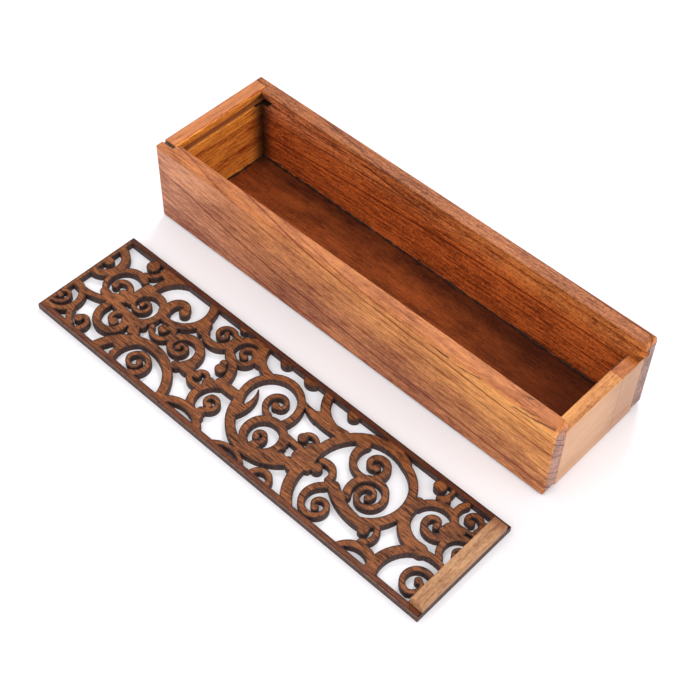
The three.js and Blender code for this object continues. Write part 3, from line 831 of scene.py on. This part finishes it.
def round_over(mesh, row, radius, finish):
    """Builds a quarter round on a row of corners and returns its top row, which lies in the lid's top."""
    flat_row = [vert.co.xy for vert in row]
    for vert in row:
        vert.co.z = lid_high.z - radius
    lower = row
    for turn in (math.radians(45.0), math.radians(90.0)):
        moved = inset(flat_row, radius * (1.0 - math.cos(turn)))
        height = lid_high.z - radius * (1.0 - math.sin(turn))
        upper = [mesh.verts.new((point.x, point.y, height)) for point in moved]
        for here, after in zip(range(len(row)), [*range(1, len(row)), 0]):
            face = mesh.faces.new((lower[here], lower[after], upper[after], upper[here]))
            face.material_index = finish
        lower = upper
    return lower


# %% The new top
# How far the rows of points lie from a cut, and how much of that distance each point has to keep
BROWNED = (0.35 * MM, 0.8 * MM)
KEEP_CLEAR = 0.8

# The scattered points: one in each square of this size, and where it may lie in its square
SCATTER = 1.1 * MM
JITTER = (0.2, 0.8)
SEED = 11

# The spacing of the samples along a cut, and what the triangulation is told: to fill everything, and how
# near two points have to be to count as one
SAMPLE = 0.15 * MM
EVERYWHERE = 0
TOUCHING = 1e-7

# The places of the lid's two finishes
PLAIN_WOOD = 0
CHARRED = 1


def split(row, longest):
    """The row with points added, so that no two neighbours lie further apart than the given length."""
    points = []
    for here, after in zip(row, row[1:] + row[:1]):
        count = max(1, math.ceil((after - here).length / longest))
        points += [here.lerp(after, step / count) for step in range(count)]
    return points


def samples_along(rows):
    """Points close together along all the rows, in a tree that finds the nearest one."""
    points = [point for row in rows for point in split(row, SAMPLE)]
    tree = kdtree.KDTree(len(points))
    for index, point in enumerate(points):
        tree.insert(point.to_3d(), index)
    tree.balance()
    return tree


def wood_side(points, triangles, lines, line_sources, edges):
    """Numbers of the triangles on the wood's side: those left of a row, and all joined to them."""
    owner = {}
    for number, triangle in enumerate(triangles):
        for here, after in zip(triangle, triangle[1:] + triangle[:1]):
            owner[here, after] = number
    fence = set()
    found = set()
    for (one, other), source in zip(lines, line_sources):
        if source:
            start, end = edges[source[0]]
            forward = (points[other] - points[one]).dot(points[end] - points[start]) > 0.0
            fence |= {(one, other), (other, one)}
            found.add(owner.get((one, other) if forward else (other, one)))
    found.discard(None)
    waiting = list(found)
    while waiting:
        triangle = triangles[waiting.pop()]
        for here, after in zip(triangle, triangle[1:] + triangle[:1]):
            beyond = owner.get((after, here))
            if (here, after) not in fence and beyond is not None and beyond not in found:
                found.add(beyond)
                waiting.append(beyond)
    return found


def lay_top(mesh, rows, layer):
    """Lays one sheet between the rows and writes each point's distance to the nearest cut, in mm."""
    border = [vert for row in rows for vert in row]
    flat_rows = [[vert.co.xy for vert in row] for row in rows]
    nearest = samples_along(flat_rows)
    edges = []
    for row in rows:
        first = len(edges)
        edges += [(first + here, first + (here + 1) % len(row)) for here in range(len(row))]
    fine_rows = [split(row, SCATTER) for row in flat_rows]
    wanted = []
    for width in BROWNED:
        wanted += [(point, KEEP_CLEAR * width) for row in fine_rows for point in inset(row, width)]
    chance = random.Random(SEED)
    across = math.ceil((lid_high.x - lid_low.x) / SCATTER)
    up = math.ceil((lid_high.y - lid_low.y) / SCATTER)
    for column in range(across):
        for place in range(up):
            x = lid_low.x + (column + chance.uniform(*JITTER)) * SCATTER
            y = lid_low.y + (place + chance.uniform(*JITTER)) * SCATTER
            wanted.append((Vector((x, y)), BROWNED[1]))
    inner = [point for point, clear in wanted if nearest.find(point.to_3d())[2] > clear]
    points = [vert.co.xy for vert in border] + inner
    sheet = delaunay_2d_cdt(points, edges, [], EVERYWHERE, TOUCHING)
    found, lines, triangles, sources, line_sources = sheet[:5]
    corners = []
    for point, source in zip(found, sources):
        old = min(source, default=len(border))
        if old < len(border):
            corners.append(border[old])
        else:
            vert = mesh.verts.new((point.x, point.y, lid_high.z))
            vert[layer] = nearest.find(point.to_3d())[2] / MM
            corners.append(vert)
    places = [point.copy() for point in found]
    for number in wood_side(places, triangles, lines, line_sources, edges):
        mesh.faces.new([corners[index] for index in triangles[number]]).material_index = PLAIN_WOOD
    for vert in [vert for vert in mesh.verts if not vert.link_faces]:
        mesh.verts.remove(vert)


def fretwork():
    """Makes the lid: charred walls, and a fine new top that knows its distance from the cuts."""
    mesh = copy_of("lid_panel", LID_WELD)
    layer = mesh.verts.layers.float.new(FROM_CUT)
    for face in mesh.faces:
        face.material_index = PLAIN_WOOD if abs(face.normal.z) > FLAT else CHARRED
    for vert in mesh.verts:
        vert[layer] = BROWNED[1] / MM
    rows = cut_rows(mesh)
    outer = max(rows, key=lambda row: max(vert.co.x for vert in row))
    old_faces = [face for face in mesh.faces if face.normal.z > FLAT]
    area = sum(face.calc_area() for face in old_faces)
    bmesh.ops.delete(mesh, geom=old_faces, context="FACES_ONLY")
    kinds = {True: (OUTER_ROUND, PLAIN_WOOD), False: (CUT_ROUND, CHARRED)}
    tops = [round_over(mesh, row, *kinds[row is outer]) for row in rows]
    lay_top(mesh, tops, layer)
    mesh.normal_update()
    new_area = sum(face.calc_area() for face in mesh.faces if face.normal.z > FLAT)
    print(len(rows), "rows")
    print("top in square mm:", round(area / MM / MM), "before,", round(new_area / MM / MM), "now")
    finished(mesh, "fretwork_lid", LID_BODY, "lid_panel", [fretwork_wood, charred])


def finger_strip():
    mesh = copy_of("lid_finger_strip")
    join_flats(mesh)
    soften(mesh, sharp_edges(mesh), 0.25 * MM)
    finished(mesh, "finger_strip", LID_BODY, "lid_finger_strip", [strip_wood])


fretwork()
finger_strip()

# %% [markdown]
# ## The floor and the light
#
# The box stands in a white photo studio. The key lamp hangs above and behind it on the left, so the
# shadow falls towards the camera. A lamp on the right, a wide one in front and the white room light the
# rest. The floor is pale, and to the camera and in reflections it glows a little: where nothing shades
# it, it reaches white, and it still keeps the shadow.

# %% Studio
FLOOR = shade(236, 234, 238)
FLOOR_SIZE = 3.0
FLOOR_GLOW = 0.15
ROOM_LIGHT = 0.75


def ray_is(nodes, *kinds):
    """1 for a ray of any of the given kinds, else 0."""
    first, *others = (nodes.node("ShaderNodeLightPath", out="Is " + kind + " Ray") for kind in kinds)
    for other in others:
        first = first.most(other)
    return first


def floor():
    f = Finish("white_floor")
    seen = ray_is(f, "Camera", "Glossy")
    f.feed(f.surface.inputs["Emission Color"], f.mix(seen, (0, 0, 0, 1), (FLOOR_GLOW,) * 3 + (1,)))
    f.surface.inputs["Emission Strength"].default_value = 1.0
    f.surface.inputs["Base Color"].default_value = FLOOR
    f.surface.inputs["Roughness"].default_value = 1.0
    f.surface.inputs["Specular IOR Level"].default_value = 0.0
    mesh = bmesh.new()
    bmesh.ops.create_grid(mesh, x_segments=1, y_segments=1, size=FLOOR_SIZE / 2)
    data = bpy.data.meshes.new("floor")
    mesh.to_mesh(data)
    mesh.free()
    data.materials.append(f.material)
    plane = bpy.data.objects.new("floor", data)
    bpy.context.scene.collection.objects.link(plane)


def room():
    """A white room: full white to the camera and in reflections, a little dimmer as a light."""
    world = bpy.data.worlds.new("white_room")
    world.use_nodes = True
    bpy.context.scene.world = world
    nodes = Nodes(world.node_tree)
    world.node_tree.nodes.clear()
    seen = ray_is(nodes, "Camera", "Glossy", "Transmission")
    strength = seen * (1.0 - ROOM_LIGHT) + ROOM_LIGHT
    background = nodes.node("ShaderNodeBackground", {}, {"Color": (1, 1, 1, 1), "Strength": strength})
    nodes.node("ShaderNodeOutputWorld", {}, {"Surface": background})


def lamp(name, place, size, power):
    """A square soft light that faces the box."""
    data = bpy.data.lights.new(name, "AREA")
    data.size = size
    data.energy = power
    light = bpy.data.objects.new(name, data)
    light.location = place
    light.rotation_mode = "QUATERNION"
    light.rotation_quaternion = (-Vector(place)).to_track_quat("-Z", "Y")
    bpy.context.scene.collection.objects.link(light)


floor()
room()
lamp("key", place=(-0.4, 0.85, 1.05), size=0.3, power=6.2)
lamp("side", place=(1.0, 0.1, 0.75), size=0.7, power=3.4)
lamp("front", place=(0.1, -0.9, 1.2), size=1.2, power=8.0)
bpy.context.scene.view_settings.view_transform = "Standard"
print("studio lit, floor", FLOOR_SIZE, "m wide")
